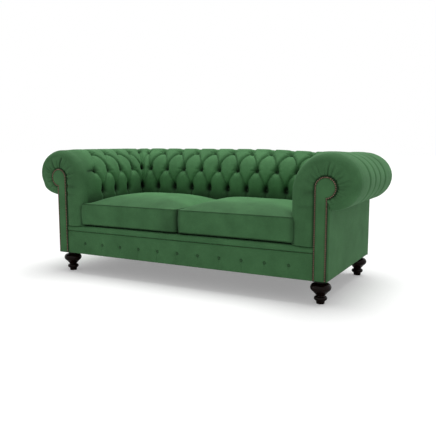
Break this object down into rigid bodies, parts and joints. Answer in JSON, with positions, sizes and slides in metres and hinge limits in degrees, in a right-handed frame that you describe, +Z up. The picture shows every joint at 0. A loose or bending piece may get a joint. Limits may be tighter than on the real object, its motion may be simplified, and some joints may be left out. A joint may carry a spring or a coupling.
{
  "type": "sofa",
  "caption": "Deep-buttoned sofa with rolled arms level with the back, nailed scroll fronts, turned feet and loose lift-off seat cushions.",
  "frame": {"origin": "on the floor, under the middle of the sofa's overall width and depth", "axes": "+Z up, -Y to the front where a person sits down, +X to the right of someone facing the front"},
  "size_m": [2.012, 0.9636, 0.757],
  "materials": {
    "velvet": "short-pile velvet",
    "button_cloth": "short-pile velvet",
    "piping_cloth": "short-pile velvet",
    "foam": "open-cell foam",
    "deck_cloth": "woven",
    "black_cloth": "non-woven",
    "webbing": "woven jute",
    "zip": "woven tape",
    "nail_metal": "antiqued",
    "turned_wood": "dark, high gloss",
    "glide_plastic": "matt",
    "steel": "plain",
    "plywood": "raw",
    "timber": "raw"
  },
  "bodies": {
    "frame": {"arm_board_left": "plywood", "arm_board_right": "plywood", "arm_buttons_left": "button_cloth", "arm_buttons_right": "button_cloth", "arm_pad_left": "velvet", "arm_pad_right": "velvet", "arm_ribs_left": "plywood", "arm_ribs_right": "plywood", "arm_top_rail_left": "timber", "arm_top_rail_right": "timber", "arm_webbing_left": "webbing", "arm_webbing_right": "webbing", "back_buttons": "button_cloth", "back_pad": "velvet", "back_ribs": "plywood", "back_top_rail": "timber", "back_webbing": "webbing", "border_buttons": "button_cloth", "deck_pad": "deck_cloth", "dust_cover": "black_cloth", "facing_left": "velvet", "facing_nails_left": "nail_metal", "facing_nails_right": "nail_metal", "facing_right": "velvet", "foot_blocks": "timber", "foot_bolts": "steel", "front_border": "velvet", "front_foot_left": "turned_wood", "front_foot_right": "turned_wood", "front_lip": "velvet", "front_rail": "timber", "glides": "glide_plastic", "inner_side_rail_left": "timber", "inner_side_rail_right": "timber", "outer_side_rail_left": "timber", "outer_side_rail_right": "timber", "outside_arm_panel_left": "velvet", "outside_arm_panel_right": "velvet", "outside_back_panel": "velvet", "rear_foot_left": "turned_wood", "rear_foot_right": "turned_wood", "rear_post_left": "timber", "rear_post_right": "timber", "rear_rail": "timber", "rear_seat_rail": "timber", "seat_springs": "steel", "spring_clips": "steel", "tee_nuts": "steel"},
    "cushion_left": {"cushion_cover_left": "velvet", "cushion_core_left": "foam", "cushion_piping_left": "piping_cloth", "cushion_zip_left": "zip"},
    "cushion_right": {"cushion_cover_right": "velvet", "cushion_core_right": "foam", "cushion_piping_right": "piping_cloth", "cushion_zip_right": "zip"}
  },
  "joints": [
    {"name": "lift_cushion_left", "type": "slide", "parent": "frame", "child": "cushion_left", "axis": [0, 0, 1], "range_m": [0, 0.5]},
    {"name": "lift_cushion_right", "type": "slide", "parent": "frame", "child": "cushion_right", "axis": [0, 0, 1], "range_m": [0, 0.5]}
  ]
}
